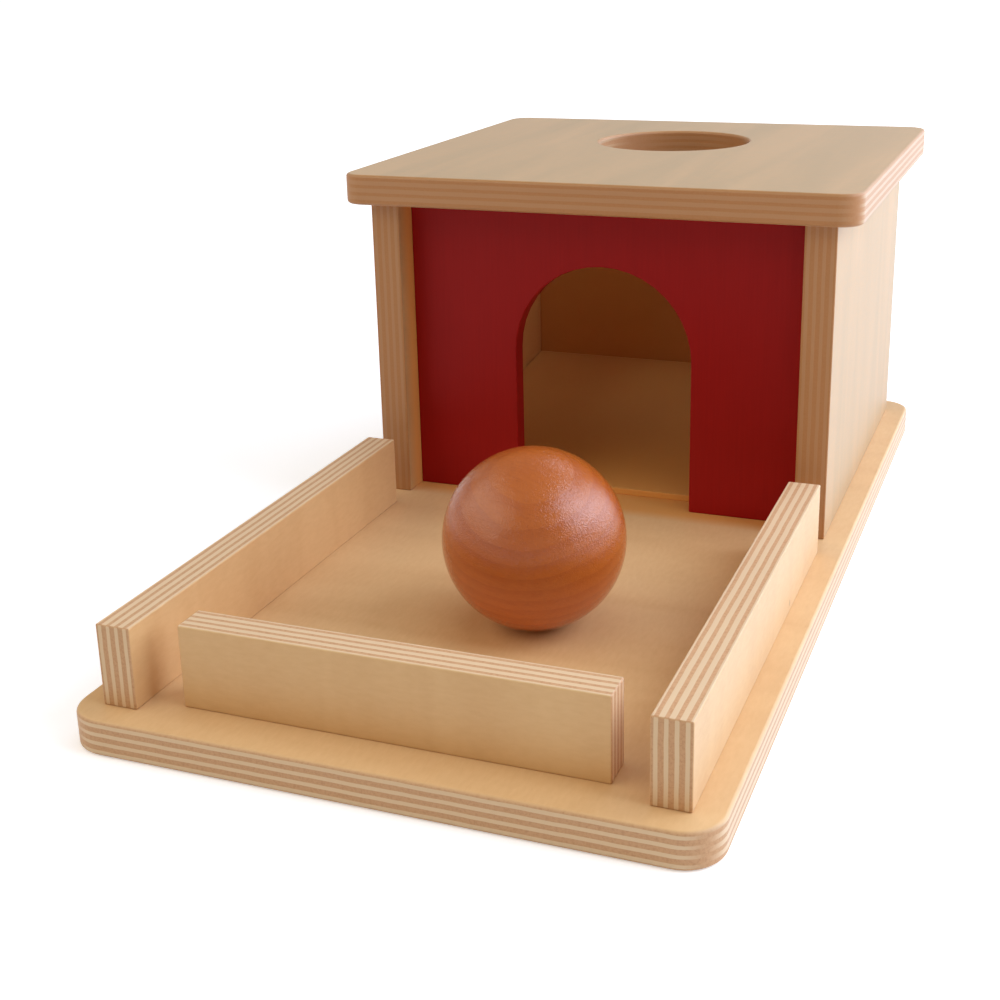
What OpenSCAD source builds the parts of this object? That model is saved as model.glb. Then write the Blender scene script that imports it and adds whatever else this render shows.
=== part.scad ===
// Object permanence box in plywood: an open tray in front of a closed box. A ball dropped
// through the hole in the top lands on the ramp inside and rolls out of the arched doorway.
// Millimetres, +Z up. The origin is the centre of the base board's underside, and the
// tray end faces -Y.

/* [Boards] */
// Thickness of the plywood that the base, walls, panels and top are cut from
ply_t = 9; // [7:0.5:11]
// Radius of the rounded rims of the base board and the top board
rim_r = 1; // [0.5:0.25:2]
// Radius of the sanded edges of the walls and panels
edge_r = 0.75; // [0.25:0.25:1.25]

/* [Base board] */
// Length of the base board, front to back
base_l = 300; // [285:1:360]
// Radius of the base board's corners, seen from above
base_corner_r = 9.5; // [4:0.5:12]

/* [Tray] */
// Width across the outer faces of the tray walls and of the box
body_w = 140; // [126:1:160]
// Distance from the walls' outer faces to the base board's side edges
side_margin = 7; // [3:0.5:20]
// Distance from the base board's front edge to the tray side walls
front_margin = 7.5; // [5:0.5:12]
// Height of the tray walls above the base board
tray_wall_h = 20.5; // [18:0.5:26]
// Distance of the front wall's face behind the side walls' front ends
front_wall_back = 5; // [0:0.5:12]
// Gap between each end of the front wall and the side wall beside it
front_wall_gap = 9.5; // [4:0.5:16]
// Gap between the tray side walls and the box behind them
tray_gap = 10; // [4:0.5:16]

/* [Box] */
// Length of the box's side panels, front to back
box_l = 131; // [118:1:150]
// Height of the box's panels
panel_h = 92; // [84:1:110]
// Distance from the side panels' rear edges to the base board's rear edge
rear_margin = 11.5; // [6:0.5:16]
// Thickness of the painted front panel
front_panel_t = 6; // [4:0.5:8]
// Distance of the front panel's face behind the side panels' front edges
front_recess = 9; // [4:0.5:14]
// Width of the arched doorway
arch_w = 55; // [52:1:64]
// Height of the doorway's straight sides
arch_spring_h = 46.5; // [40:0.5:50]
// Radius of the doorway's rounded rims
arch_rim_r = 1; // [0.25:0.25:1.5]

/* [Top board] */
// Overhang of the top board at each side
top_side_over = 7; // [4:0.5:9]
// Overhang of the top board at the front
top_front_over = 6.5; // [4:0.5:9]
// Overhang of the top board at the rear
top_rear_over = 11; // [4:0.5:11.5]
// Radius of the top board's corners, seen from above
top_corner_r = 6.5; // [4:0.5:10]
// Diameter of the hole that the ball drops through
hole_d = 50; // [49:0.5:56]
// Radius of the hole's rounded rims
hole_rim_r = 0.75; // [0.25:0.25:1.5]
// Distance from the hole's edge to the rear panel's inner face
hole_back_gap = 8.5; // [4:0.5:14]

/* [Ramp] */
// Thickness of the ramp board
ramp_t = 3; // [2.5:0.25:4]
// Height of the ramp's surface at the rear panel
ramp_rise = 14.5; // [12:0.5:20]
// Height of the ramp's nose above the base board
ramp_nose_h = 2; // [1:0.25:2.25]
// Gap between the front panel and the ramp's nose
ramp_front_gap = 2.5; // [0.5:0.25:5]
// Clearance between the ramp and the panels beside and behind it
ramp_clear = 0.25; // [0.1:0.05:0.5]
// Depth of the cleat that holds up the ramp's rear end
cleat_w = 10; // [6:0.5:16]

/* [Ball] */
// Diameter of the turned wooden ball
ball_d = 46.5; // [44.5:0.5:48.5]
// Place of the ball to the right of the middle
ball_right = 10; // [-12:0.5:12]
// Gap between the front wall and the ball where it lies
ball_ahead = 35; // [1:0.5:60]
// Running clearance under the ball
ball_clear = 0.2; // [0.1:0.05:0.5]

/* [Dowels] */
// Diameter of the glued wooden dowels
dowel_d = 5; // [4:0.5:6]
// Length of the dowels
dowel_l = 18; // [14:1:20]
// Depth of the dowels in the base board and in the top board
dowel_sunk = 6; // [4:0.5:6]
// Glue clearance round each dowel
dowel_fit = 0.1; // [0.05:0.05:0.2]
// Spare depth of each dowel hole beyond the dowel's end
dowel_spare = 0.5; // [0.25:0.25:1]

/* [Hidden] */

// Facets of curves when previewed
$fn = 96;
// Length by which every cut runs past the face that it leaves
overrun = 1;

// Where dowels stand along each board, as shares of its length from its middle
side_dowel_shares = [-0.4, 0, 0.4];
cross_dowel_shares = [-0.3, 0.3];

// Places from front to back
tray_y0 = -base_l / 2 + front_margin;
box_y1 = base_l / 2 - rear_margin;
box_y0 = box_y1 - box_l;
box_mid_y = box_y0 + box_l / 2;
tray_wall_l = box_y0 - tray_gap - tray_y0;
tray_mid_y = tray_y0 + tray_wall_l / 2;
front_wall_mid_y = tray_y0 + front_wall_back + ply_t / 2;
front_panel_mid_y = box_y0 + front_recess + front_panel_t / 2;
rear_panel_y0 = box_y1 - ply_t;
rear_panel_mid_y = box_y1 - ply_t / 2;

// Places and widths from side to side
base_w = body_w + 2 * side_margin;
inner_w = body_w - 2 * ply_t;
front_wall_w = inner_w - 2 * front_wall_gap;
side_mid_x = (body_w - ply_t) / 2;

// Heights of the faces that boards stand on
base_top = ply_t;
top_z0 = base_top + panel_h;

// Top board
top_w = body_w + 2 * top_side_over;
top_l = box_l + top_front_over + top_rear_over;
top_mid_y = box_y0 - top_front_over + top_l / 2;
hole_y = rear_panel_y0 - hole_back_gap - hole_d / 2;

// Ramp: its upper face climbs evenly from the nose to the rear panel
ramp_w = inner_w - 2 * ramp_clear;
ramp_y0 = front_panel_mid_y + front_panel_t / 2 + ramp_front_gap;
ramp_y1 = rear_panel_y0 - ramp_clear;
ramp_slope = (ramp_rise - ramp_nose_h) / (ramp_y1 - ramp_y0);
ramp_drop = ramp_t / cos(atan(ramp_slope));
ramp_heel_y = ramp_y0 + (ramp_drop - ramp_nose_h) / ramp_slope;

// Ball
ball_y = front_wall_mid_y + ply_t / 2 + ball_ahead + ball_d / 2;
ball_z = base_top + ball_clear + ball_d / 2;

// Points where dowels stand, as [x, y]
front_wall_dowels = [for (s = cross_dowel_shares) [front_wall_w * s, front_wall_mid_y]];
tray_side_dowels = [for (s = side_dowel_shares) [side_mid_x, tray_mid_y + tray_wall_l * s]];
box_side_dowels = [for (s = side_dowel_shares) [side_mid_x, box_mid_y + box_l * s]];
rear_panel_dowels = [for (s = cross_dowel_shares) [inner_w * s, rear_panel_mid_y]];

function left(points) = [for (p = points) [-p.x, p.y]];

tray_dowels = concat(left(tray_side_dowels), tray_side_dowels, front_wall_dowels);
box_dowels = concat(left(box_side_dowels), box_side_dowels, rear_panel_dowels);

// Height of the ramp's underside at a place y
function ramp_under(y) = base_top + ramp_nose_h + (y - ramp_y0) * ramp_slope - ramp_drop;

// Outline of a board with round corners, centred on the origin
module round_rect(w, l, r) {
    square([w - 2 * r, l], center = true);
    square([w, l - 2 * r], center = true);
    for (sx = [-1, 1], sy = [-1, 1])
        translate([sx * (w / 2 - r), sy * (l / 2 - r)])
            circle(r);
}

// Sawn board with all its edges sanded round, standing on the base board above a point [x, y]
module board(at, w, l, h) {
    translate([at.x, at.y, base_top])
        intersection() {
            linear_extrude(h)
                round_rect(w, l, edge_r);
            translate([0, l / 2, h / 2])
                rotate([90, 0, 0])
                    linear_extrude(l)
                        round_rect(w, h, edge_r);
            translate([-w / 2, 0, h / 2])
                rotate([90, 0, 90])
                    linear_extrude(w)
                        round_rect(l, h, edge_r);
        }
}

// Profile of a rounding cutter: what it takes off a square corner that lies at the origin
module roundover(r) {
    difference() {
        translate([-r, -r])
            square(r + overrun);
        translate([-r, -r])
            circle(r);
    }
}

// Draws its children at both faces of a board of thickness t that stands on z = 0
module at_both_faces(t) {
    for (flip = [0, 1])
        translate([0, 0, t / 2])
            mirror([0, 0, flip])
                translate([0, 0, t / 2])
                    children();
}

// Rounding cutter that runs round the outside of a plate, at its upper face
module outer_rim(w, l, r) {
    for (side = [0, 1])
        mirror([side, 0, 0])
            translate([w / 2, l / 2 - r, 0])
                rotate([90, 0, 0])
                    linear_extrude(l - 2 * r)
                        roundover(rim_r);
    for (end = [0, 1])
        mirror([0, end, 0])
            rotate(90)
                translate([l / 2, w / 2 - r, 0])
                    rotate([90, 0, 0])
                        linear_extrude(w - 2 * r)
                            roundover(rim_r);
    for (side = [0, 1], end = [0, 1])
        mirror([side, 0, 0])
            mirror([0, end, 0])
                translate([w / 2 - r, l / 2 - r, 0])
                    rotate_extrude(angle = 90)
                        translate([r, 0])
                            roundover(rim_r);
}

// Plate with round corners and rounded rims, standing on z = 0 and centred above the origin
module plate(w, l, r) {
    difference() {
        linear_extrude(ply_t)
            round_rect(w, l, r);
        at_both_faces(ply_t)
            outer_rim(w, l, r);
    }
}

// Rounding cutter that runs round the inside of an opening of radius r, through an angle
module inner_rim(r, rim, angle) {
    rotate_extrude(angle = angle)
        translate([r, 0])
            mirror([1, 0])
                roundover(rim);
}

// Dowels whose middles stand across a joint at height z, sunk downwards or upwards
module dowels(points, z, sunk_below) {
    for (p = points)
        translate([p.x, p.y, z - sunk_below])
            cylinder(d = dowel_d, h = dowel_l);
}

// Holes for the same dowels, with glue clearance round them and spare depth at both ends
module dowel_holes(points, z, sunk_below) {
    for (p = points)
        translate([p.x, p.y, z - sunk_below - dowel_spare])
            cylinder(d = dowel_d + 2 * dowel_fit, h = dowel_l + 2 * dowel_spare);
}

// Every dowel hole at the base board's upper face, and every one at the panels' upper edges
module foot_holes() {
    dowel_holes(concat(tray_dowels, box_dowels), base_top, dowel_sunk);
}

module head_holes() {
    dowel_holes(box_dowels, top_z0, dowel_l - dowel_sunk);
}

module base_board() {
    color("burlywood")
        difference() {
            plate(base_w, base_l, base_corner_r);
            foot_holes();
        }
}

// The tray's right-hand wall; the left one is its mirror image
module tray_side_wall() {
    difference() {
        board([side_mid_x, tray_mid_y], ply_t, tray_wall_l, tray_wall_h);
        foot_holes();
    }
}

module right_tray_wall() {
    color("wheat")
        tray_side_wall();
}

module left_tray_wall() {
    color("wheat")
        mirror([1, 0, 0])
            tray_side_wall();
}

module front_tray_wall() {
    color("wheat")
        difference() {
            board([0, front_wall_mid_y], front_wall_w, ply_t, tray_wall_h);
            foot_holes();
        }
}

module tray_wall_dowels() {
    color("tan")
        dowels(tray_dowels, base_top, dowel_sunk);
}

// The box's right-hand side panel; the left one is its mirror image
module side_panel() {
    difference() {
        board([side_mid_x, box_mid_y], ply_t, box_l, panel_h);
        foot_holes();
        head_holes();
    }
}

module right_side_panel() {
    color("wheat")
        side_panel();
}

module left_side_panel() {
    color("wheat")
        mirror([1, 0, 0])
            side_panel();
}

module rear_panel() {
    color("wheat")
        difference() {
            board([0, rear_panel_mid_y], inner_w, ply_t, panel_h);
            foot_holes();
            head_holes();
        }
}

// Doorway outline: straight sides with a half circle on top, from the panel's lower edge
module arch_outline() {
    translate([-arch_w / 2, -overrun])
        square([arch_w, arch_spring_h + overrun]);
    translate([0, arch_spring_h])
        circle(d = arch_w);
}

// Rounding cutter that runs up one side of the doorway, over its arch and down the other side
module arch_rim() {
    for (side = [0, 1])
        mirror([side, 0, 0])
            translate([arch_w / 2, arch_spring_h, 0])
                rotate([90, 0, 0])
                    linear_extrude(arch_spring_h + overrun)
                        mirror([1, 0])
                            roundover(arch_rim_r);
    translate([0, arch_spring_h, 0])
        inner_rim(arch_w / 2, arch_rim_r, 180);
}

// Doorway cutter, drawn lying down: it cuts a panel that stands on z = 0
module doorway() {
    translate([0, 0, -overrun])
        linear_extrude(front_panel_t + 2 * overrun)
            arch_outline();
    at_both_faces(front_panel_t)
        arch_rim();
}

module front_arch_panel() {
    color("firebrick")
        difference() {
            board([0, front_panel_mid_y], inner_w, front_panel_t, panel_h);
            translate([0, front_panel_mid_y + front_panel_t / 2, base_top])
                rotate([90, 0, 0])
                    doorway();
        }
}

module box_foot_dowels() {
    color("tan")
        dowels(box_dowels, base_top, dowel_sunk);
}

// Side view of the ramp board: the nose stands upright and its heel is planed flat
module ramp_side() {
    polygon([[ramp_y0, base_top], [ramp_y0, base_top + ramp_nose_h], [ramp_y1, base_top + ramp_rise],
             [ramp_y1, ramp_under(ramp_y1)], [ramp_heel_y, base_top]]);
}

module ramp_board() {
    color("peru")
        translate([-ramp_w / 2, 0, 0])
            rotate([90, 0, 90])
                linear_extrude(ramp_w)
                    ramp_side();
}

// Side view of the cleat: its top is bevelled to the ramp's slope
module cleat_side() {
    front = rear_panel_y0 - cleat_w;
    polygon([[front, base_top], [rear_panel_y0, base_top],
             [rear_panel_y0, ramp_under(rear_panel_y0)], [front, ramp_under(front)]]);
}

module ramp_cleat() {
    color("tan")
        translate([-ramp_w / 2, 0, 0])
            rotate([90, 0, 90])
                linear_extrude(ramp_w)
                    cleat_side();
}

// The ball's hole, with rounded rims
module ball_hole() {
    translate([0, 0, -overrun])
        cylinder(d = hole_d, h = ply_t + 2 * overrun);
    at_both_faces(ply_t)
        inner_rim(hole_d / 2, hole_rim_r, 360);
}

module top_board() {
    color("burlywood")
        difference() {
            translate([0, top_mid_y, top_z0])
                plate(top_w, top_l, top_corner_r);
            translate([0, hole_y, top_z0])
                ball_hole();
            head_holes();
        }
}

module top_board_dowels() {
    color("tan")
        dowels(box_dowels, top_z0, dowel_l - dowel_sunk);
}

module ball() {
    color("sienna")
        translate([ball_right, ball_y, ball_z])
            sphere(d = ball_d);
}

base_board();
left_tray_wall();
right_tray_wall();
front_tray_wall();
tray_wall_dowels();
left_side_panel();
right_side_panel();
rear_panel();
front_arch_panel();
box_foot_dowels();
ramp_board();
ramp_cleat();
top_board();
top_board_dowels();
ball();
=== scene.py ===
import math

import bmesh
import bpy
from bpy.props import FloatProperty, FloatVectorProperty, IntProperty, PointerProperty
from mathutils import Matrix, Vector, noise
from mathutils.geometry import tessellate_polygon


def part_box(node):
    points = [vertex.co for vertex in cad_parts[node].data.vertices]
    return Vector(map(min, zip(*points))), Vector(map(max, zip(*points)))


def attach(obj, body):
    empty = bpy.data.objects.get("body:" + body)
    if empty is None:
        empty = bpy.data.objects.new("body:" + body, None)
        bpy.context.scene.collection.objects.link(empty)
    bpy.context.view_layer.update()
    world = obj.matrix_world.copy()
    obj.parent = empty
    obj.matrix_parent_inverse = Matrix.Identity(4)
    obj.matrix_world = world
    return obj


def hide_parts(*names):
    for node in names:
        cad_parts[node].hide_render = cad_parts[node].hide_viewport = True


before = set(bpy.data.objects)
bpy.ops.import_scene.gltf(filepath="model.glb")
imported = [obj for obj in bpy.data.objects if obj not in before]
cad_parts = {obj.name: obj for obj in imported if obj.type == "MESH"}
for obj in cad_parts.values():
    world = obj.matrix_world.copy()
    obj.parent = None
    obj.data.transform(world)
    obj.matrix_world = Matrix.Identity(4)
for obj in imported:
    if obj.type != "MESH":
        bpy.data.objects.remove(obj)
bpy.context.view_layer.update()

bl_info = {
    "name": "Object Permanence Box",
    "version": (1, 0, 0),
    "blender": (4, 5, 0),
    "location": "3D View > Sidebar > Toy Box",
    "description": "Builds a plywood box with a holed top, an arched doorway, a tray and a turned ball",
    "category": "Object",
}

MM = 0.001
# A corner in plan is this much larger than its rim, so that the rim's inset leaves an arc
CORNER_TO_RIM = 1.02
X, Y, Z = Vector((1, 0, 0)), Vector((0, 1, 0)), Vector((0, 0, 1))


def linear(hex_colour):
    """An sRGB hex colour as linear red, green and blue."""
    channels = [int(hex_colour[i:i + 2], 16) / 255 for i in (1, 3, 5)]
    return tuple(c / 12.92 if c <= 0.04045 else ((c + 0.055) / 1.055) ** 2.4 for c in channels)


def colour(name, description, hex_colour):
    return FloatVectorProperty(name=name, description=description, subtype="COLOR", size=3,
                               min=0, max=1, default=linear(hex_colour))


def length(name, description, millimetres):
    return FloatProperty(name=name, description=description, unit="LENGTH", subtype="DISTANCE",
                         min=0, default=millimetres * MM)


def share(name, description, default):
    return FloatProperty(name=name, description=description, subtype="FACTOR", min=0, max=1,
                         default=default)


class ToyBoxBoards(bpy.types.PropertyGroup):
    """Sizes of the boards that their boxes alone don't give."""

    edge_radius: length("Edge radius", "Radius of the sanded edges of walls and panels", 0.4)
    rim_radius: length("Rim radius", "Radius of the rounded rims of base and top", 1.0)
    base_corner: length("Base corner", "Radius of the base board's corners in plan", 9.5)
    top_corner: length("Top corner", "Radius of the top board's corners in plan", 6.5)
    hole_radius: length("Hole radius", "Radius of the hole that the ball drops through", 25)
    hole_y: length("Hole place", "Distance of the hole's centre behind the origin", 96)
    arch_width: length("Arch width", "Width of the doorway", 55)
    arch_height: length("Arch height", "Height of the doorway at its crown", 74)
    ramp_nose: length("Ramp nose", "Height of the ramp's front edge", 2)
    ramp_thickness: length("Ramp thickness", "Thickness of the ramp board", 3)


class ToyBoxWood(bpy.types.PropertyGroup):
    """Colours and layers of the birch plywood."""

    face: colour("Face", "Varnished birch, seen along the grain", "#E8BE85")
    face_deep: colour("Face, deep", "The darker growth bands of the face veneer", "#D8A970")
    # Painted shade: the inside colour is deeper and more saturated, standing in for the dim, wood-tinted
    # light within the box
    inner: colour("Inside", "The box's inside, never sanded, which took up more varnish", "#E4A252")
    # Painted shade: the box's faces are darker than the base and the tray, as less light reaches them
    box_face_shade: colour("Box face", "The box's faces, which took up a little more varnish", "#B49360")
    edge: colour("Edge", "The sanded edges of the veneers that lie along the edge", "#E6C89F")
    end: colour("End grain", "Birch cut across its fibres, which soaks up varnish", "#D3A273")
    end_deep: colour("End grain, deep", "The darkest pores of the end grain", "#C28C5B")
    # Painted shade: the box's sawn edges are darkened, most where they face the front or the rear
    box_edge_shade: colour("Box edge", "The box's sawn edges, which took up the most varnish", "#AF7540")
    outer_ply: length("Outer ply", "Thickness of each face veneer", 1.75)
    inner_ply: length("Inner ply", "Thickness of each inner veneer", 1.1)
    inner_count: IntProperty(name="Inner plies", description="Veneers between the two faces",
                             default=5, min=1)
    ramp_ply: length("Ramp ply", "Thickness of each veneer of the thin ramp board", 1)
    knot: FloatVectorProperty(name="Pin knot", description="Place of the one pin knot, on the right wall",
                              subtype="TRANSLATION", size=3,
                              default=(70.0 * MM, -43.7 * MM, 11.6 * MM))
    knot_colour: colour("Pin knot colour", "Dark bark grown into the wood", "#8A6A45")
    knot_size: length("Pin knot size", "Half the length of the pin knot", 1.3)
    roughness: share("Roughness", "Roughness of the satin varnish", 0.42)
    bloom: share("Bloom", "Pale haze of the varnish at a low angle", 0.25)


class ToyBoxPaint(bpy.types.PropertyGroup):
    """The painted front panel."""

    red: colour("Red", "Red paint in full light", "#9E0E0D")
    red_deep: colour("Red, deep", "Red where the coat is thin on raised fibres", "#930B0B")
    roughness: share("Roughness", "Roughness of the satin paint", 0.5)


class ToyBoxBall(bpy.types.PropertyGroup):
    """The turned ball."""

    wood: colour("Wood", "The ball's reddish brown wood", "#C06727")
    growth: colour("Growth rings", "The darker late wood of each ring", "#AA521E")
    pore: colour("Pores", "Fine dark vessels filled with stain", "#6A3016")
    ring_spacing: length("Ring spacing", "Distance between two growth rings", 3.2)
    roughness: share("Roughness", "Roughness of the gloss varnish", 0.035)


class ToyBoxStage(bpy.types.PropertyGroup):
    """Camera, floor and lamps."""

    camera_place: FloatVectorProperty(name="Camera place", description="Where the camera stands",
                                      subtype="TRANSLATION", size=3,
                                      default=(0.13311, -0.39697, 0.17656))
    camera_yaw: FloatProperty(name="Yaw", description="Turn of the camera to the left of +Y",
                              subtype="ANGLE", default=math.radians(21.08))
    camera_pitch: FloatProperty(name="Pitch", description="Tilt of the camera below the horizon",
                                subtype="ANGLE", default=math.radians(18.06))
    camera_roll: FloatProperty(name="Roll", description="Turn of the camera about its own axis",
                               subtype="ANGLE", default=math.radians(-1.16))
    camera_lens: FloatProperty(name="Lens", description="Focal length on a 36 mm wide sensor",
                               subtype="DISTANCE_CAMERA", unit="CAMERA", default=53.92)
    shift_x: FloatProperty(name="Shift X", description="Sideways shift of the frame", default=-0.02135)
    shift_y: FloatProperty(name="Shift Y", description="Upward shift of the frame", default=-0.07636)
    floor_colour: colour("Floor", "Pale matt floor", "#F4F3F1")
    lamp_power: FloatProperty(name="Lamps", description="Power that each lamp gives its share of",
                              subtype="POWER", unit="POWER", default=22.0)
    sky: share("Sky", "Strength of the even light from all sides", 0.05)
    floor_gloss: share("Floor in gloss", "How strongly the white floor shows in varnish and paint", 0.8)
    gloss: share("Background in gloss",
                 "How strongly the white background shows in varnish and paint", 0.25)


# Mesh code

def rounded_outline(corners, arc_step=math.radians(9)):
    """Points and outward normals of a closed outline, anticlockwise round its material.

    Each corner is (x, y, radius); a corner that turns inwards gets its fillet too.
    """
    points = []
    for i, (px, py, radius) in enumerate(corners):
        corner = Vector((px, py))
        before = (corner - Vector(corners[i - 1][:2])).normalized()
        after = (Vector(corners[(i + 1) % len(corners)][:2]) - corner).normalized()
        turn = math.atan2(before.x * after.y - before.y * after.x, before.dot(after))
        side = math.copysign(1, turn)
        start = corner - before * radius * math.tan(abs(turn) / 2)
        centre = start + Vector((-before.y, before.x)) * radius * side
        steps = max(4, round(abs(turn) / arc_step))
        for k in range(steps + 1):
            arm = Matrix.Rotation(turn * k / steps, 2) @ (start - centre)
            point = centre + arm
            # Two arcs may meet without a straight stretch between them
            if not points or (point - points[-1][0]).length > 0.001 * MM:
                points.append((point, arm.normalized() * side))
    return points


def circle_hole(x, y, radius, steps=96):
    """Points and normals of a round hole, clockwise so that its wall faces inwards."""
    arms = [Vector((math.cos(a), -math.sin(a))) for a in (math.tau * k / steps for k in range(steps))]
    return [(Vector((x, y)) + arm * radius, -arm) for arm in arms]


def slab(outlines, thickness, rim, steps=5):
    """Vertices, faces and normals of a board cut to outlines, with quarter-round rims.

    The first outline is the outside and the rest are holes. The board lies on z = 0.
    """
    angles = [math.pi / 2 * (k / steps - 1) for k in range(steps + 1)]
    angles += [math.pi / 2 * k / steps for k in range(steps + 1)]
    mesh = bmesh.new()
    normals = []
    low_rings, high_rings = [], []
    for outline in outlines:
        rings = []
        for k, a in enumerate(angles):
            inset = rim * (1 - math.cos(a))
            height = rim * (1 + math.sin(a)) if k <= steps else thickness - rim * (1 - math.sin(a))
            ring = []
            for point, normal in outline:
                place = point - normal * inset
                ring.append(mesh.verts.new((place.x, place.y, height)))
                normals.append(Vector((normal.x * math.cos(a), normal.y * math.cos(a), math.sin(a))))
            rings.append(ring)
        count = len(outline)
        for low, high in zip(rings, rings[1:]):
            for j in range(count):
                n = (j + 1) % count
                mesh.faces.new((low[j], low[n], high[n], high[j]))
        low_rings.append(rings[0])
        high_rings.append(rings[-1])
    for rings, up in ((low_rings, -1), (high_rings, 1)):
        corners = [corner for ring in rings for corner in ring]
        for a, b, c in tessellate_polygon([[corner.co for corner in ring] for ring in rings]):
            a, b, c = corners[a], corners[b], corners[c]
            if (b.co - a.co).cross(c.co - a.co).z * up < 0:
                b, c = c, b
            mesh.faces.new((a, b, c))
    return mesh, normals


def upright(axis_u, axis_v, origin):
    """Matrix that lays a slab's x and y along two axes of the frame, from an origin."""
    axis_w = axis_u.cross(axis_v)
    turn = Matrix((axis_u, axis_v, axis_w)).transposed().to_4x4()
    return Matrix.Translation(origin) @ turn


def wooden_piece(name, mesh, normals, place, grain, depth, origin, material, body):
    """Makes an object of a board's mesh, with its place in the tree that it was cut from.

    The attribute "ply" holds each point's way along the face grain, across it and down
    through the veneers, and "facing" holds the surface's direction on the same axes.
    """
    data = bpy.data.meshes.new(name)
    mesh.to_mesh(data)
    mesh.free()
    data.transform(place)
    turn = place.to_3x3()
    normals = [(turn @ n).normalized() for n in normals]
    data.shade_smooth()
    data.normals_split_custom_set_from_vertices(normals)
    axes = Matrix((grain, depth.cross(grain), depth))
    ply = data.attributes.new("ply", "FLOAT_VECTOR", "POINT")
    facing = data.attributes.new("facing", "FLOAT_VECTOR", "POINT")
    for i, vertex in enumerate(data.vertices):
        ply.data[i].vector = axes @ (vertex.co - origin)
        facing.data[i].vector = axes @ normals[i]
    data.materials.append(material)
    piece = bpy.data.objects.new(name, data)
    bpy.context.scene.collection.objects.link(piece)
    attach(piece, body)
    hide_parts(name)
    return piece


# Materials

def add_node(tree, kind, inputs=None, **settings):
    """Adds a node, sets it, and fills or links its inputs. Returns its first output."""
    made = tree.nodes.new(kind)
    for key, value in settings.items():
        setattr(made, key, value)
    for key, value in (inputs or {}).items():
        if isinstance(value, bpy.types.NodeSocket):
            tree.links.new(value, made.inputs[key])
        else:
            made.inputs[key].default_value = value
    return made.outputs[0] if made.outputs else made


def opaque(rgb):
    return (*rgb, 1)


def new_material(name, build, *settings):
    material = bpy.data.materials.get(name)
    if material is None:
        material = bpy.data.materials.new(name)
        material.use_nodes = True
        material.node_tree.nodes.clear()
        build(material.node_tree, *settings)
    return material


def veneer_layers(tree, depth, outer, inner, count):
    """Which veneer a depth lies in, as 1 for one that runs along the face grain and 0 for one across it.

    The skin of each face stays between the two, so that it keeps a softer tone on a sawn edge.
    """
    steps = add_node(tree, "ShaderNodeMath", {0: depth, 1: outer}, operation="SUBTRACT")
    steps = add_node(tree, "ShaderNodeMath", {0: steps, 1: inner}, operation="DIVIDE")
    almost_one = 0.999
    steps = add_node(tree, "ShaderNodeClamp",
                     {"Value": steps, "Min": -almost_one, "Max": count + almost_one})
    steps = add_node(tree, "ShaderNodeMath", {0: steps, 1: 1.0}, operation="ADD")
    # A triangle wave that is 0 in the middle of a lengthwise veneer and 1 in a crossing one
    wave = add_node(tree, "ShaderNodeMath", {0: steps, 1: 0.5}, operation="SUBTRACT")
    wave = add_node(tree, "ShaderNodeMath", {0: wave, 1: 1.0}, operation="PINGPONG")
    lengthwise, crossing = 0.26, 0.60
    return add_node(tree, "ShaderNodeMapRange",
                    {"Value": wave, "From Min": lengthwise, "From Max": crossing,
                     "To Min": 1.0, "To Max": 0.0}, interpolation_type="SMOOTHSTEP")


def pin_knot(tree, wood, surface):
    """Darkens one short upright fleck, where a twig's bud was cut through."""
    here = add_node(tree, "ShaderNodeTexCoord").node.outputs["Object"]
    away = add_node(tree, "ShaderNodeVectorMath", {0: here, 1: tuple(wood.knot)}, operation="SUBTRACT")
    away = add_node(tree, "ShaderNodeVectorMath", {0: away, 1: (1, 3, 1)}, operation="MULTIPLY")
    away = add_node(tree, "ShaderNodeVectorMath", {0: away}, operation="LENGTH").node.outputs["Value"]
    mark = add_node(tree, "ShaderNodeMapRange",
                    {"Value": away, "From Min": wood.knot_size * 0.4, "From Max": wood.knot_size,
                     "To Min": 0.8, "To Max": 0.0}, interpolation_type="SMOOTHSTEP")
    return add_node(tree, "ShaderNodeMix", {"Factor": mark, 6: surface, 7: opaque(wood.knot_colour)},
                    data_type="RGBA").node.outputs[2]


def inside_shade_mask(tree):
    """Is 1 on the surfaces within the box, and fades in behind the front edges of its side panels: where
    the deeper inside colour paints the box's shade.
    """
    here = add_node(tree, "ShaderNodeTexCoord").node.outputs["Object"]
    here = add_node(tree, "ShaderNodeSeparateXYZ", {"Vector": here}).node.outputs
    low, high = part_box("left_side_panel")
    rear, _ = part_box("rear_panel")
    skin = 0.3 * MM
    fade = 6 * MM
    aside = add_node(tree, "ShaderNodeMath", {0: here["X"]}, operation="ABSOLUTE")
    aside = add_node(tree, "ShaderNodeMath", {0: aside, 1: skin - high.x}, operation="LESS_THAN")
    below = add_node(tree, "ShaderNodeMath", {0: here["Z"], 1: high.z + skin}, operation="LESS_THAN")
    before = add_node(tree, "ShaderNodeMath", {0: here["Y"], 1: rear.y + skin}, operation="LESS_THAN")
    behind = add_node(tree, "ShaderNodeMapRange",
                      {"Value": here["Y"], "From Min": low.y + skin, "From Max": low.y + fade})
    found = add_node(tree, "ShaderNodeMath", {0: aside, 1: below}, operation="MULTIPLY")
    found = add_node(tree, "ShaderNodeMath", {0: found, 1: before}, operation="MULTIPLY")
    return add_node(tree, "ShaderNodeMath", {0: found, 1: behind}, operation="MULTIPLY")


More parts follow.
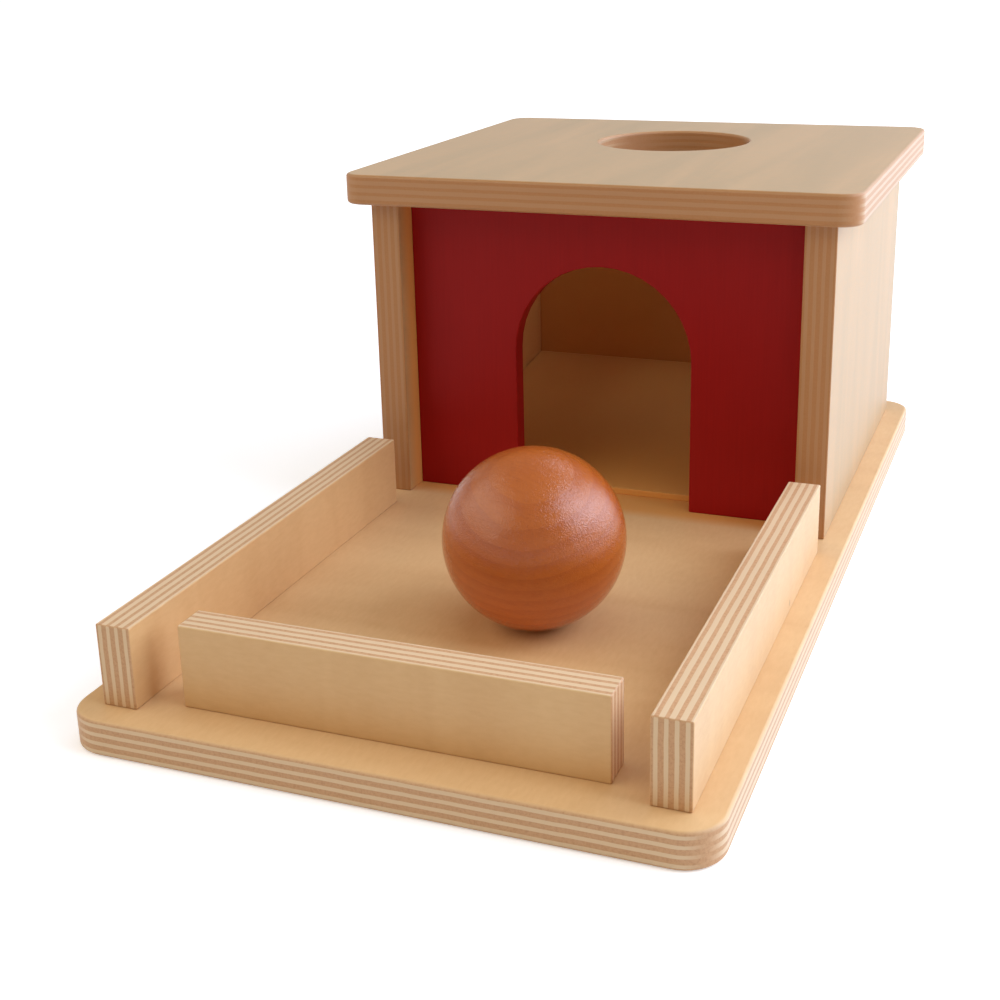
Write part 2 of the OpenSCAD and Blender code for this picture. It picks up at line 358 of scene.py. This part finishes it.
def box_shade_mask(tree):
    """Is 1 on the box's boards, down to where they stand on the base, and 0 on the base and the tray:
    where the box's darker face and edge colours paint its shade.
    """
    here = add_node(tree, "ShaderNodeTexCoord").node.outputs["Object"]
    here = add_node(tree, "ShaderNodeSeparateXYZ", {"Vector": here}).node.outputs
    clear_of_top, clear_of_base = 0.5 * MM, 0.1 * MM
    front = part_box("top_board")[0].y - clear_of_top
    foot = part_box("left_side_panel")[0].z + clear_of_base
    behind = add_node(tree, "ShaderNodeMath", {0: here["Y"], 1: front}, operation="GREATER_THAN")
    above = add_node(tree, "ShaderNodeMath", {0: here["Z"], 1: foot}, operation="GREATER_THAN")
    return add_node(tree, "ShaderNodeMath", {0: behind, 1: above}, operation="MULTIPLY")


def sawn_edge_shade(tree, flat):
    """How much painted shade darkens the box's sawn edges: most where they face the front or the rear."""
    way = add_node(tree, "ShaderNodeNewGeometry").node.outputs["Normal"]
    way = add_node(tree, "ShaderNodeSeparateXYZ", {"Vector": way}).node.outputs
    front = add_node(tree, "ShaderNodeMath", {0: way["Y"]}, operation="ABSOLUTE")
    front = add_node(tree, "ShaderNodeMapRange",
                     {"Value": front, "From Min": 0.1, "From Max": 0.7, "To Min": 0.5, "To Max": 1.0},
                     interpolation_type="SMOOTHSTEP")
    edge = add_node(tree, "ShaderNodeMapRange",
                    {"Value": flat, "From Min": 0.90, "From Max": 0.99, "To Min": 0.8, "To Max": 0.0})
    return add_node(tree, "ShaderNodeMath", {0: front, 1: edge}, operation="MULTIPLY")


def birch_plywood(tree, wood, outer, inner, count):
    """Rotary-cut birch plywood under satin varnish.

    Birch is pale and close-grained, so its faces look almost plain; its sawn edges show
    every second veneer end-on, as darker and duller stripes.
    """
    place = add_node(tree, "ShaderNodeAttribute", attribute_name="ply").node.outputs["Vector"]
    facing = add_node(tree, "ShaderNodeAttribute", attribute_name="facing").node.outputs["Vector"]
    # The glue lines wander a little, as peeled veneers aren't quite flat
    wander = add_node(tree, "ShaderNodeTexNoise",
                      {"Vector": place, "Scale": 1 / (9 * MM), "Detail": 2.0, "Roughness": 0.6})
    wander = add_node(tree, "ShaderNodeMapRange",
                      {"Value": wander, "To Min": -0.16 * MM, "To Max": 0.16 * MM})
    split = add_node(tree, "ShaderNodeSeparateXYZ", {"Vector": place}).node
    depth = add_node(tree, "ShaderNodeMath", {0: split.outputs["Z"], 1: wander}, operation="ADD")
    along = veneer_layers(tree, depth, outer, inner, count)

    # The fibres of a veneer run along the face grain or across it
    fibre_a = add_node(tree, "ShaderNodeVectorMath",
                       {0: place, 1: (1 / (26 * MM), 1 / (0.9 * MM), 1 / (1.1 * MM))},
                       operation="MULTIPLY")
    fibre_b = add_node(tree, "ShaderNodeVectorMath",
                       {0: place, 1: (1 / (0.9 * MM), 1 / (26 * MM), 1 / (1.1 * MM))},
                       operation="MULTIPLY")
    fibre_place = add_node(tree, "ShaderNodeMix", {"Factor": along, 4: fibre_b, 5: fibre_a},
                           data_type="VECTOR").node.outputs[1]
    fibres = add_node(tree, "ShaderNodeTexNoise",
                      {"Vector": fibre_place, "Scale": 1.0, "Detail": 4.0, "Roughness": 0.62})

    # Broad growth bands of the peeled log, about 16 mm apart and lost in places
    band_place = add_node(tree, "ShaderNodeVectorMath",
                          {0: place, 1: (1 / (150 * MM), 1 / (16 * MM), 1 / (4 * MM))},
                          operation="MULTIPLY")
    bands = add_node(tree, "ShaderNodeTexNoise",
                     {"Vector": band_place, "Scale": 1.0, "Detail": 3.0, "Roughness": 0.5,
                      "Distortion": 0.6})

    # End grain shows where the surface faces along the veneer's own fibres
    face = add_node(tree, "ShaderNodeSeparateXYZ", {"Vector": facing}).node
    end_a = add_node(tree, "ShaderNodeMath", {0: face.outputs["X"]}, operation="ABSOLUTE")
    end_b = add_node(tree, "ShaderNodeMath", {0: face.outputs["Y"]}, operation="ABSOLUTE")
    end = add_node(tree, "ShaderNodeMix", {"Factor": along, 2: end_b, 3: end_a}, data_type="FLOAT")
    end = add_node(tree, "ShaderNodeMapRange", {"Value": end, "From Min": 0.2, "From Max": 0.8},
                   interpolation_type="SMOOTHSTEP")

    tone = add_node(tree, "ShaderNodeMath", {0: fibres, 1: 0.4}, operation="MULTIPLY")
    tone = add_node(tree, "ShaderNodeMath", {0: bands, 1: 0.6, 2: tone}, operation="MULTIPLY_ADD")
    tone = add_node(tree, "ShaderNodeMapRange", {"Value": tone, "From Min": 0.32, "From Max": 0.85})
    # Painted shade: the box's boards get a darker face colour than the base and the tray
    box = box_shade_mask(tree)
    pale = add_node(tree, "ShaderNodeMix",
                    {"Factor": box, 6: opaque(wood.face), 7: opaque(wood.box_face_shade)},
                    data_type="RGBA").node.outputs[2]
    face_colour = add_node(tree, "ShaderNodeMix",
                           {"Factor": tone, 6: pale, 7: opaque(wood.face_deep)},
                           data_type="RGBA").node.outputs[2]
    flat = add_node(tree, "ShaderNodeMath", {0: face.outputs["Z"]}, operation="ABSOLUTE")
    sawn = add_node(tree, "ShaderNodeMapRange",
                    {"Value": flat, "From Min": 0.25, "From Max": 0.85, "To Min": 0.8, "To Max": 0.0},
                    interpolation_type="SMOOTHSTEP")
    face_colour = add_node(tree, "ShaderNodeMix", {"Factor": sawn, 6: face_colour, 7: opaque(wood.edge)},
                           data_type="RGBA").node.outputs[2]
    pores = add_node(tree, "ShaderNodeTexNoise",
                     {"Vector": place, "Scale": 1 / (0.7 * MM), "Detail": 3.0, "Roughness": 0.7})
    pores = add_node(tree, "ShaderNodeMapRange", {"Value": pores, "From Min": 0.45, "From Max": 0.75})
    end_colour = add_node(tree, "ShaderNodeMix",
                          {"Factor": pores, 6: opaque(wood.end), 7: opaque(wood.end_deep)},
                          data_type="RGBA").node.outputs[2]
    surface = add_node(tree, "ShaderNodeMix", {"Factor": end, 6: face_colour, 7: end_colour},
                       data_type="RGBA").node.outputs[2]
    # Painted shade: the box's sawn edges darken by which way they face
    edge_shade_factor = add_node(tree, "ShaderNodeMath", {0: box, 1: sawn_edge_shade(tree, flat)},
                     operation="MULTIPLY")
    surface = add_node(tree, "ShaderNodeMix", {"Factor": edge_shade_factor, 6: surface, 7: opaque(wood.box_edge_shade)},
                       data_type="RGBA").node.outputs[2]
    # Painted shade: the box's inside gets its deeper, more saturated colour
    surface = add_node(tree, "ShaderNodeMix",
                       {"Factor": inside_shade_mask(tree), 6: surface, 7: opaque(wood.inner)},
                       data_type="RGBA").node.outputs[2]
    surface = pin_knot(tree, wood, surface)

    rough = add_node(tree, "ShaderNodeMapRange",
                     {"Value": fibres, "To Min": wood.roughness - 0.06, "To Max": wood.roughness + 0.08})
    rough = add_node(tree, "ShaderNodeMath", {0: end, 1: 0.12, 2: rough}, operation="MULTIPLY_ADD")
    relief = add_node(tree, "ShaderNodeMath", {0: end, 1: -0.8, 2: fibres}, operation="MULTIPLY_ADD")
    bump = add_node(tree, "ShaderNodeBump", {"Height": relief, "Strength": 0.35, "Distance": 0.05 * MM})
    shader = add_node(tree, "ShaderNodeBsdfPrincipled",
                      {"Base Color": surface, "Roughness": rough, "Normal": bump, "IOR": 1.5,
                       "Sheen Weight": wood.bloom, "Sheen Roughness": 0.35})
    add_node(tree, "ShaderNodeOutputMaterial", {"Surface": shader})


def red_paint(tree, paint):
    """Sprayed red enamel on a sanded board: an even satin coat with a trace of fibre under it."""
    place = add_node(tree, "ShaderNodeAttribute", attribute_name="ply").node.outputs["Vector"]
    fibre_place = add_node(tree, "ShaderNodeVectorMath",
                           {0: place, 1: (1 / (22 * MM), 1 / (0.8 * MM), 1 / (0.8 * MM))},
                           operation="MULTIPLY")
    fibres = add_node(tree, "ShaderNodeTexNoise",
                      {"Vector": fibre_place, "Scale": 1.0, "Detail": 4.0, "Roughness": 0.6})
    thin = add_node(tree, "ShaderNodeMapRange", {"Value": fibres, "From Min": 0.25, "From Max": 0.85})
    coat = add_node(tree, "ShaderNodeMix",
                    {"Factor": thin, 6: opaque(paint.red), 7: opaque(paint.red_deep)},
                    data_type="RGBA").node.outputs[2]
    speckle = add_node(tree, "ShaderNodeTexNoise",
                       {"Vector": place, "Scale": 1 / (0.6 * MM), "Detail": 2.0, "Roughness": 0.5})
    height = add_node(tree, "ShaderNodeMath", {0: speckle, 1: 0.5, 2: fibres}, operation="MULTIPLY_ADD")
    bump = add_node(tree, "ShaderNodeBump", {"Height": height, "Strength": 0.3, "Distance": 0.04 * MM})
    rough = add_node(tree, "ShaderNodeMapRange",
                     {"Value": fibres, "To Min": paint.roughness - 0.05,
                      "To Max": paint.roughness + 0.07})
    shader = add_node(tree, "ShaderNodeBsdfPrincipled",
                      {"Base Color": coat, "Roughness": rough, "Normal": bump, "IOR": 1.3})
    add_node(tree, "ShaderNodeOutputMaterial", {"Surface": shader})


def turned_ball(tree, ball, centre):
    """Stained hardwood turned on a lathe and varnished: curved growth rings, short dark pores, gloss."""
    place = add_node(tree, "ShaderNodeTexCoord").node.outputs["Object"]
    place = add_node(tree, "ShaderNodeVectorMath", {0: place, 1: tuple(centre)}, operation="SUBTRACT")
    # The fibres run from left to right, and the tree's heart lies far below and a little behind, so the
    # layers fall towards the front
    tilt = (math.radians(-25), math.radians(-6), math.radians(12))
    turned = add_node(tree, "ShaderNodeMapping",
                      {"Vector": place, "Rotation": tilt, "Location": (0, 10 * MM, 110 * MM)},
                      vector_type="POINT")
    wobble = add_node(tree, "ShaderNodeTexNoise",
                      {"Vector": turned, "Scale": 1 / (28 * MM), "Detail": 2.0, "Roughness": 0.5}).node
    shifted = add_node(tree, "ShaderNodeVectorMath",
                       {0: wobble.outputs["Color"], 1: (5 * MM, 5 * MM, 5 * MM), 2: turned},
                       operation="MULTIPLY_ADD")
    flat = add_node(tree, "ShaderNodeVectorMath", {0: shifted, 1: (0.12, 1, 1)}, operation="MULTIPLY")
    radius = add_node(tree, "ShaderNodeVectorMath", {0: flat}, operation="LENGTH").node.outputs["Value"]
    rings = add_node(tree, "ShaderNodeMath", {0: radius, 1: ball.ring_spacing}, operation="DIVIDE")
    rings = add_node(tree, "ShaderNodeMath", {0: rings}, operation="FRACT")
    late = add_node(tree, "ShaderNodeMapRange", {"Value": rings, "From Min": 0.25, "From Max": 0.95},
                    interpolation_type="SMOOTHSTEP")
    fibre_place = add_node(tree, "ShaderNodeVectorMath",
                           {0: turned, 1: (1 / (9 * MM), 1 / (0.7 * MM), 1 / (0.7 * MM))},
                           operation="MULTIPLY")
    fibres = add_node(tree, "ShaderNodeTexNoise",
                      {"Vector": fibre_place, "Scale": 1.0, "Detail": 4.0, "Roughness": 0.65})
    tone = add_node(tree, "ShaderNodeMath", {0: late, 1: 0.25}, operation="MULTIPLY")
    tone = add_node(tree, "ShaderNodeMath", {0: fibres, 1: 0.75, 2: tone}, operation="MULTIPLY_ADD")
    tone = add_node(tree, "ShaderNodeMapRange", {"Value": tone, "From Min": 0.2, "From Max": 1.0})
    wood = add_node(tree, "ShaderNodeMix",
                    {"Factor": tone, 6: opaque(ball.wood), 7: opaque(ball.growth)},
                    data_type="RGBA").node.outputs[2]
    pore_place = add_node(tree, "ShaderNodeVectorMath",
                          {0: turned, 1: (1 / (2.2 * MM), 1 / (0.35 * MM), 1 / (0.35 * MM))},
                          operation="MULTIPLY")
    pores = add_node(tree, "ShaderNodeTexNoise",
                     {"Vector": pore_place, "Scale": 1.0, "Detail": 2.0, "Roughness": 0.5})
    pores = add_node(tree, "ShaderNodeMapRange",
                     {"Value": pores, "From Min": 0.60, "From Max": 0.72, "To Max": 0.15})
    stained = add_node(tree, "ShaderNodeMix", {"Factor": pores, 6: wood, 7: opaque(ball.pore)},
                       data_type="RGBA").node.outputs[2]
    # The varnish sank a little over the fibres, so the edge of each reflection looks crackled
    crackle = add_node(tree, "ShaderNodeTexNoise",
                       {"Vector": place, "Scale": 1 / (0.7 * MM), "Detail": 1.5, "Roughness": 0.5,
                        "Distortion": 2.0})
    height = add_node(tree, "ShaderNodeMath", {0: fibres, 1: 0.5}, operation="MULTIPLY")
    height = add_node(tree, "ShaderNodeMath", {0: crackle, 1: 1.2, 2: height}, operation="MULTIPLY_ADD")
    bump = add_node(tree, "ShaderNodeBump", {"Height": height, "Strength": 0.7, "Distance": 0.13 * MM})
    rough = add_node(tree, "ShaderNodeMapRange",
                     {"Value": fibres, "To Min": ball.roughness - 0.015,
                      "To Max": ball.roughness + 0.03})
    shader = add_node(tree, "ShaderNodeBsdfPrincipled",
                      {"Base Color": stained, "Roughness": rough, "Normal": bump, "IOR": 1.6})
    add_node(tree, "ShaderNodeOutputMaterial", {"Surface": shader})


def bare_beech(tree, wood):
    """Unvarnished beech rod: pinkish, with short dark flecks along its length."""
    place = add_node(tree, "ShaderNodeTexCoord").node.outputs["Object"]
    fleck_place = add_node(tree, "ShaderNodeVectorMath",
                           {0: place, 1: (1 / (0.5 * MM), 1 / (0.5 * MM), 1 / (4 * MM))},
                           operation="MULTIPLY")
    flecks = add_node(tree, "ShaderNodeTexNoise", {"Vector": fleck_place, "Scale": 1.0, "Detail": 3.0})
    shade = add_node(tree, "ShaderNodeMix",
                     {"Factor": flecks, 6: opaque(wood.face_deep), 7: opaque(wood.end)},
                     data_type="RGBA").node.outputs[2]
    shader = add_node(tree, "ShaderNodeBsdfPrincipled", {"Base Color": shade, "Roughness": 0.7})
    add_node(tree, "ShaderNodeOutputMaterial", {"Surface": shader})


def plywood_material(wood):
    """The nine-millimetre board of base, walls, panels and top."""
    return new_material("Birch plywood, satin varnish", birch_plywood, wood,
                        wood.outer_ply, wood.inner_ply, wood.inner_count)


# Operators

def settings():
    scene = bpy.context.scene
    return scene.toy_box_boards, scene.toy_box_wood


def board_piece(node, thin, grain, outline=None, rim=None, holes=(), material=None):
    """Cuts a board to its CAD box: thin is its thickness axis and grain its face grain.

    An outline is in the board's own width and height, from its lowest corner.
    """
    boards, wood = settings()
    low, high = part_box(node)
    size = high - low
    axis_u = {"X": Y, "Y": Z, "Z": X}[thin]
    axis_w = {"X": X, "Y": Y, "Z": Z}[thin]
    axis_v = axis_w.cross(axis_u)
    wide, tall, thick = (abs(size.dot(a)) for a in (axis_u, axis_v, axis_w))
    rim = rim or boards.edge_radius
    corner = rim * CORNER_TO_RIM
    outline = outline or [(0, 0, corner), (wide, 0, corner), (wide, tall, corner), (0, tall, corner)]
    mesh, normals = slab([rounded_outline(outline), *holes], thick, rim)
    return wooden_piece(node, mesh, normals, upright(axis_u, axis_v, low), grain, axis_w, low,
                        material or plywood_material(wood), "box")


def plate_outline(node, radius):
    """Outline of a flat plate with round corners, from its lowest corner."""
    low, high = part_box(node)
    wide, deep = high.x - low.x, high.y - low.y
    return [(0, 0, radius), (wide, 0, radius), (wide, deep, radius), (0, deep, radius)]


class TOYBOX_OT_base_board(bpy.types.Operator):
    """Cut the base board that carries the tray and the box"""

    bl_idname = "toy_box.base_board"
    bl_label = "Base Board"

    def execute(self, context):
        boards, _ = settings()
        board_piece("base_board", "Z", X, plate_outline("base_board", boards.base_corner),
                    boards.rim_radius)
        return {"FINISHED"}


class TOYBOX_OT_tray_walls(bpy.types.Operator):
    """Cut the three low walls of the tray, whose face grain stands upright"""

    bl_idname = "toy_box.tray_walls"
    bl_label = "Tray Walls"

    def execute(self, context):
        board_piece("left_tray_wall", "X", Z)
        board_piece("right_tray_wall", "X", Z)
        board_piece("front_tray_wall", "Y", Z)
        return {"FINISHED"}


class TOYBOX_OT_panels(bpy.types.Operator):
    """Cut the side panels and the rear panel of the box"""

    bl_idname = "toy_box.panels"
    bl_label = "Side and Rear Panels"

    def execute(self, context):
        board_piece("left_side_panel", "X", Z)
        board_piece("right_side_panel", "X", Z)
        board_piece("rear_panel", "Y", Z)
        return {"FINISHED"}


class TOYBOX_OT_arch_panel(bpy.types.Operator):
    """Cut the red front panel with its arched doorway"""

    bl_idname = "toy_box.arch_panel"
    bl_label = "Arched Front Panel"

    def execute(self, context):
        boards, _ = settings()
        low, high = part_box("front_arch_panel")
        tall, wide = high.z - low.z, high.x - low.x
        r = boards.edge_radius * CORNER_TO_RIM
        half, crown = boards.arch_width / 2, boards.arch_height
        left, right = wide / 2 - half, wide / 2 + half
        # The panel lies on its side: its height runs along the outline's x
        outline = [(0, 0, r), (tall, 0, r), (tall, wide, r), (0, wide, r),
                   (0, right, r), (crown, right, half), (crown, left, half), (0, left, r)]
        paint = new_material("Red enamel, satin", red_paint, context.scene.toy_box_paint)
        board_piece("front_arch_panel", "Y", Z, outline, boards.edge_radius, (), paint)
        return {"FINISHED"}


class TOYBOX_OT_ramp(bpy.types.Operator):
    """Make the ramp board and the cleat under its rear end"""

    bl_idname = "toy_box.ramp"
    bl_label = "Ramp"

    def execute(self, context):
        boards, wood = settings()
        thin_ply = new_material("Thin birch plywood", birch_plywood, wood,
                                wood.ramp_ply, wood.ramp_ply, 1)
        low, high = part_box("ramp_board")
        run, rise = high.y - low.y, high.z - low.z
        slope = (rise - boards.ramp_nose) / run
        drop = boards.ramp_thickness * math.hypot(1, slope)
        heel = (drop - boards.ramp_nose) / slope
        # The edges of the ramp and its cleat are only broken
        r = 0.25 * MM
        outline = [(0, 0, r), (heel, 0, r), (run, rise - drop, r), (run, rise, r),
                   (0, boards.ramp_nose, r)]
        mesh, normals = slab([rounded_outline(outline)], high.x - low.x, r, 3)
        tilt = Vector((0, -slope, 1)).normalized()
        surface = Vector((low.x, low.y, low.z + boards.ramp_nose))
        wooden_piece("ramp_board", mesh, normals, upright(Y, Z, low), X, tilt,
                     surface - tilt * boards.ramp_thickness, thin_ply, "box")
        low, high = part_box("ramp_cleat")
        run, rise = high.y - low.y, high.z - low.z
        outline = [(0, 0, r), (run, 0, r), (run, rise, r), (0, rise - run * slope, r)]
        mesh, normals = slab([rounded_outline(outline)], high.x - low.x, r, 3)
        wooden_piece("ramp_cleat", mesh, normals, upright(Y, Z, low), X, Y, low,
                     thin_ply, "box")
        return {"FINISHED"}


class TOYBOX_OT_top_board(bpy.types.Operator):
    """Cut the top board with the hole for the ball"""

    bl_idname = "toy_box.top_board"
    bl_label = "Top Board"

    def execute(self, context):
        boards, _ = settings()
        low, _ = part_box("top_board")
        hole = circle_hole(-low.x, boards.hole_y - low.y, boards.hole_radius)
        board_piece("top_board", "Z", Y, plate_outline("top_board", boards.top_corner),
                    boards.rim_radius, [hole])
        return {"FINISHED"}


class TOYBOX_OT_dowels(bpy.types.Operator):
    """Give the hidden dowels their bare beech"""

    bl_idname = "toy_box.dowels"
    bl_label = "Dowels"

    def execute(self, context):
        _, wood = settings()
        beech = new_material("Bare beech", bare_beech, wood)
        for name in ("tray_wall_dowels", "box_foot_dowels", "top_board_dowels"):
            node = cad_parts[name]
            node.data.materials.clear()
            node.data.materials.append(beech)
        return {"FINISHED"}


class TOYBOX_OT_ball(bpy.types.Operator):
    """Turn the ball, slightly uneven as a sanded one is, with one small dent"""

    bl_idname = "toy_box.ball"
    bl_label = "Ball"

    def execute(self, context):
        low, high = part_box("ball")
        centre, radius = (low + high) / 2, (high.z - low.z) / 2
        mesh = bmesh.new()
        bmesh.ops.create_cube(mesh, size=2)
        bmesh.ops.subdivide_edges(mesh, edges=mesh.edges[:], cuts=39, use_grid_fill=True)
        dent = Vector((-0.14, -0.98, 0.155)).normalized()
        # As shares of the ball's radius
        dent_width, dent_depth, unevenness = 0.05, 0.006, 0.0012
        for vertex in mesh.verts:
            # Spreads the cube's grid evenly over the ball
            way = Vector([math.tan(c * math.pi / 4) for c in vertex.co]).normalized()
            sag = unevenness * (1 + noise.noise(way * 1.7)) / 2
            sag += dent_depth * math.exp(-((way - dent).length / dent_width) ** 2)
            vertex.co = centre + way * radius * (1 - sag)
        data = bpy.data.meshes.new("ball")
        mesh.to_mesh(data)
        mesh.free()
        data.shade_smooth()
        data.materials.append(new_material("Turned hardwood, gloss varnish", turned_ball,
                                           context.scene.toy_box_ball, centre))
        ball = bpy.data.objects.new("ball", data)
        context.scene.collection.objects.link(ball)
        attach(ball, "ball")
        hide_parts("ball")
        return {"FINISHED"}


# The windows' light is cooler than what the room throws back
DAYLIGHT = (0.90, 1.0, 1.24)
ROOM_LIGHT = (1.0, 0.91, 0.76)

# The place, the width and height, the share of the power, the tint, and whether gloss shows the lamp.
# Most of the light comes from both sides and the rear, and little from the camera's side. The three
# fill lights are polarised, as they are for varnished things, so that they draw no highlight.
LAMPS = {
    "window_right": ((0.76, 0.04, 0.62), (0.7, 0.8), 0.30, DAYLIGHT, True),
    "window_rear_right": ((0.70, 0.70, 0.38), (1.05, 0.65), 0.27, DAYLIGHT, True),
    "window_rear": ((0.18, 0.75, 0.72), (0.5, 0.3), 0.05, DAYLIGHT, True),
    "room_left": ((-0.74, -0.40, 0.60), (1.5, 0.8), 0.26, ROOM_LIGHT, True),
    "fill_front": ((0.28, -0.50, 0.92), (0.9, 0.8), 0.03, ROOM_LIGHT, False),
    "fill_low": ((0.60, -0.66, 0.58), (0.5, 0.3), 0.035, ROOM_LIGHT, False),
    "fill_overhead": ((0.00, 0.05, 1.10), (0.8, 0.8), 0.13, DAYLIGHT, False),
}


def area_lamp(name, place, size, power, tint, in_gloss):
    """Hangs an area lamp that faces the tray."""
    lamp = bpy.data.lights.new(name, "AREA")
    lamp.shape = "RECTANGLE"
    lamp.size, lamp.size_y = size
    lamp.energy = power
    lamp.color = tint
    holder = bpy.data.objects.new(name, lamp)
    holder.location = place
    holder.visible_glossy = in_gloss
    holder.rotation_mode = "QUATERNION"
    tray = Vector((0, 0, 30 * MM))
    holder.rotation_quaternion = (tray - Vector(place)).to_track_quat("-Z", "Y")
    bpy.context.scene.collection.objects.link(holder)


def pale_floor(tree, stage):
    """Matt white sweep: it keeps the shadow, and reads as white to the lens and nearly so in gloss."""
    path = add_node(tree, "ShaderNodeLightPath").node
    seen = add_node(tree, "ShaderNodeMath",
                    {0: path.outputs["Is Camera Ray"], 1: path.outputs["Is Transmission Ray"]},
                    operation="MAXIMUM")
    seen = add_node(tree, "ShaderNodeMath",
                    {0: path.outputs["Is Glossy Ray"], 1: stage.floor_gloss, 2: seen},
                    operation="MULTIPLY_ADD")
    # The sweep brightens away from the toy, where the lamps no longer reach it
    place = add_node(tree, "ShaderNodeTexCoord").node.outputs["Object"]
    far = add_node(tree, "ShaderNodeVectorMath", {0: place}, operation="LENGTH").node.outputs["Value"]
    lift = add_node(tree, "ShaderNodeMapRange",
                    {"Value": far, "From Min": 0.3, "From Max": 1.2, "To Min": 0.4, "To Max": 1.0},
                    interpolation_type="SMOOTHSTEP")
    lift = add_node(tree, "ShaderNodeMath", {0: seen, 1: lift}, operation="MULTIPLY")
    matt = add_node(tree, "ShaderNodeBsdfDiffuse", {"Color": opaque(stage.floor_colour)})
    glow = add_node(tree, "ShaderNodeEmission", {"Strength": lift})
    both = add_node(tree, "ShaderNodeAddShader", {0: matt, 1: glow})
    add_node(tree, "ShaderNodeOutputMaterial", {"Surface": both})


class TOYBOX_OT_camera(bpy.types.Operator):
    """Stand the camera in front of the tray"""

    bl_idname = "toy_box.camera"
    bl_label = "Camera"

    def execute(self, context):
        stage = context.scene.toy_box_stage
        camera = bpy.data.cameras.new("camera")
        camera.sensor_width = 36
        camera.lens = stage.camera_lens
        camera.shift_x, camera.shift_y = stage.shift_x, stage.shift_y
        camera.clip_start, camera.clip_end = 0.02, 50
        holder = bpy.data.objects.new("camera", camera)
        turn = (Matrix.Rotation(stage.camera_yaw, 3, "Z")
                @ Matrix.Rotation(math.pi / 2 - stage.camera_pitch, 3, "X")
                @ Matrix.Rotation(stage.camera_roll, 3, "Z"))
        holder.matrix_world = Matrix.Translation(stage.camera_place) @ turn.to_4x4()
        context.scene.collection.objects.link(holder)
        context.scene.camera = holder
        return {"FINISHED"}


class TOYBOX_OT_stage(bpy.types.Operator):
    """Lay the floor, hang the lamps and set the even light from all sides"""

    bl_idname = "toy_box.stage"
    bl_label = "Floor and Lamps"

    def execute(self, context):
        scene = context.scene
        stage = scene.toy_box_stage
        floor_mesh = bpy.data.meshes.new("floor")
        reach, under = 8, -0.1 * MM
        floor_mesh.from_pydata([(-reach, -reach, under), (reach, -reach, under),
                                (reach, reach, under), (-reach, reach, under)], [], [(0, 1, 2, 3)])
        floor_mesh.materials.append(new_material("Pale floor", pale_floor, stage))
        floor = bpy.data.objects.new("floor", floor_mesh)
        scene.collection.objects.link(floor)
        for name, (place, size, part, tint, in_gloss) in LAMPS.items():
            area_lamp(name, place, size, stage.lamp_power * part, tint, in_gloss)
        world = bpy.data.worlds.new("studio")
        scene.world = world
        world.use_nodes = True
        tree = world.node_tree
        tree.nodes.clear()
        path = add_node(tree, "ShaderNodeLightPath").node
        seen = add_node(tree, "ShaderNodeMath",
                        {0: path.outputs["Is Camera Ray"], 1: path.outputs["Is Transmission Ray"]},
                        operation="MAXIMUM")
        seen = add_node(tree, "ShaderNodeMath",
                        {0: path.outputs["Is Glossy Ray"], 1: stage.gloss, 2: seen},
                        operation="MULTIPLY_ADD")
        strength = add_node(tree, "ShaderNodeMix", {"Factor": seen, 2: stage.sky, 3: 1.0},
                            data_type="FLOAT")
        sky = add_node(tree, "ShaderNodeBackground", {"Color": (1, 1, 1, 1), "Strength": strength})
        add_node(tree, "ShaderNodeOutputWorld", {"Surface": sky})
        scene.view_settings.view_transform = "Standard"
        return {"FINISHED"}


class TOYBOX_PT_panel(bpy.types.Panel):
    """Lists the steps that build the toy box"""

    bl_idname = "TOYBOX_PT_panel"
    bl_label = "Toy Box"
    bl_space_type = "VIEW_3D"
    bl_region_type = "UI"
    bl_category = "Toy Box"

    def draw(self, context):
        layout = self.layout
        for group, title in SETTINGS.items():
            box = layout.box()
            box.label(text=title)
            holder = getattr(context.scene, group)
            for name in holder.__annotations__:
                box.prop(holder, name)
        for step in STEPS:
            layout.operator(step.bl_idname)


GROUPS = {"toy_box_boards": ToyBoxBoards, "toy_box_wood": ToyBoxWood, "toy_box_paint": ToyBoxPaint,
          "toy_box_ball": ToyBoxBall, "toy_box_stage": ToyBoxStage}
SETTINGS = {"toy_box_boards": "Boards", "toy_box_wood": "Plywood", "toy_box_paint": "Paint",
            "toy_box_ball": "Ball", "toy_box_stage": "Stage"}
STEPS = (TOYBOX_OT_camera, TOYBOX_OT_base_board, TOYBOX_OT_tray_walls, TOYBOX_OT_panels,
         TOYBOX_OT_arch_panel, TOYBOX_OT_ramp, TOYBOX_OT_top_board, TOYBOX_OT_dowels, TOYBOX_OT_ball,
         TOYBOX_OT_stage)


def register():
    for cls in (*GROUPS.values(), *STEPS, TOYBOX_PT_panel):
        bpy.utils.register_class(cls)
    for name, group in GROUPS.items():
        setattr(bpy.types.Scene, name, PointerProperty(type=group))


def unregister():
    for name in GROUPS:
        delattr(bpy.types.Scene, name)
    for cls in (TOYBOX_PT_panel, *reversed(STEPS), *reversed(GROUPS.values())):
        bpy.utils.unregister_class(cls)


def main():
    register()
    for step in STEPS:
        group, name = step.bl_idname.split(".")
        getattr(getattr(bpy.ops, group), name)()


if __name__ == "__main__":
    main()
